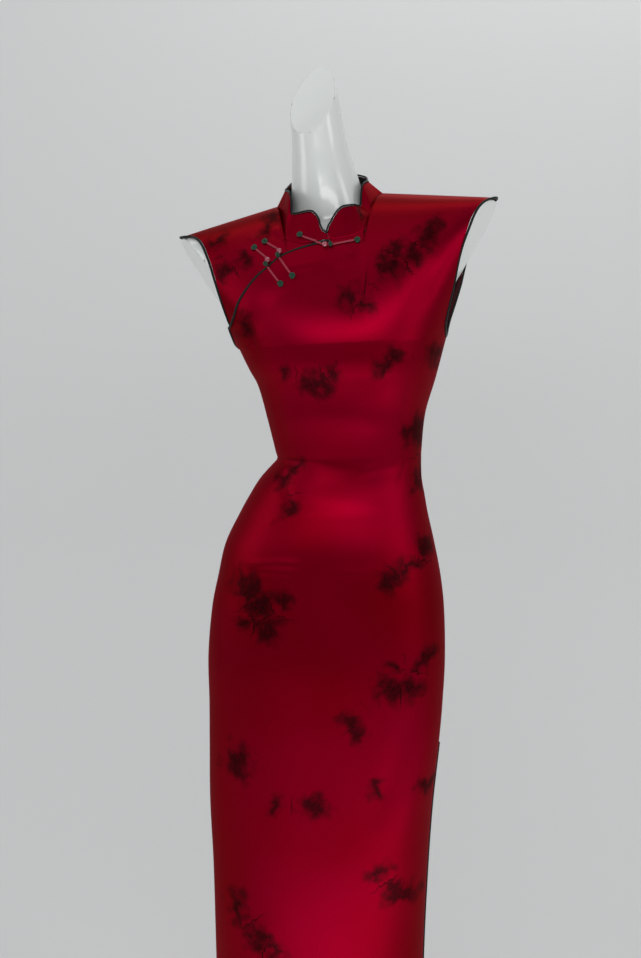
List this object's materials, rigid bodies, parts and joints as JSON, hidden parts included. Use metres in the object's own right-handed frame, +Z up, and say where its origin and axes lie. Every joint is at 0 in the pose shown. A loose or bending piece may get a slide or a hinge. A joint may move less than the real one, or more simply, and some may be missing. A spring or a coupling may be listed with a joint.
{
  "type": "cheongsam dress on dress form",
  "caption": "Long sleeveless satin dress with a notched stand collar, curved side closing with knotted fastenings and side slits, worn by a limbless display form on a pole stand.",
  "frame": {"origin": "centre of the stand's base, on its underside", "axes": "+Z up, +X to the wearer's left, -Y the way the front of the dress faces"},
  "size_m": [0.4369, 0.36, 1.5342],
  "materials": {
    "satin": "satin with a soft dark print",
    "piping": "dark green-black bias binding",
    "cord": "rolled cord",
    "knot": "coiled and knotted cord",
    "bead": "faceted",
    "form": "gloss",
    "pole": "brushed",
    "base": "satin paint"
  },
  "bodies": {
    "root": {"front_panel": "satin", "front_yoke": "satin", "back_panel": "satin", "collar": "satin", "collar_piping": "piping", "placket_piping": "piping", "armhole_piping_left": "piping", "armhole_piping_right": "piping", "slit_piping_front_left": "piping", "slit_piping_front_right": "piping", "slit_piping_back_left": "piping", "slit_piping_back_right": "piping", "collar_frog_coil_a": "knot", "collar_frog_cord_a": "cord", "collar_frog_bead": "bead", "collar_frog_knot": "knot", "collar_frog_cord_b": "cord", "collar_frog_coil_b": "knot", "chest_frog_upper_coil_a": "knot", "chest_frog_upper_cord_a": "cord", "chest_frog_upper_bead": "bead", "chest_frog_upper_knot": "knot", "chest_frog_upper_cord_b": "cord", "chest_frog_upper_coil_b": "knot", "chest_frog_lower_coil_a": "knot", "chest_frog_lower_cord_a": "cord", "chest_frog_lower_bead": "bead", "chest_frog_lower_knot": "knot", "chest_frog_lower_cord_b": "cord", "chest_frog_lower_coil_b": "knot", "dress_form": "form", "form_pole": "pole", "form_flange": "pole", "form_base": "base"}
  },
  "joints": []
}
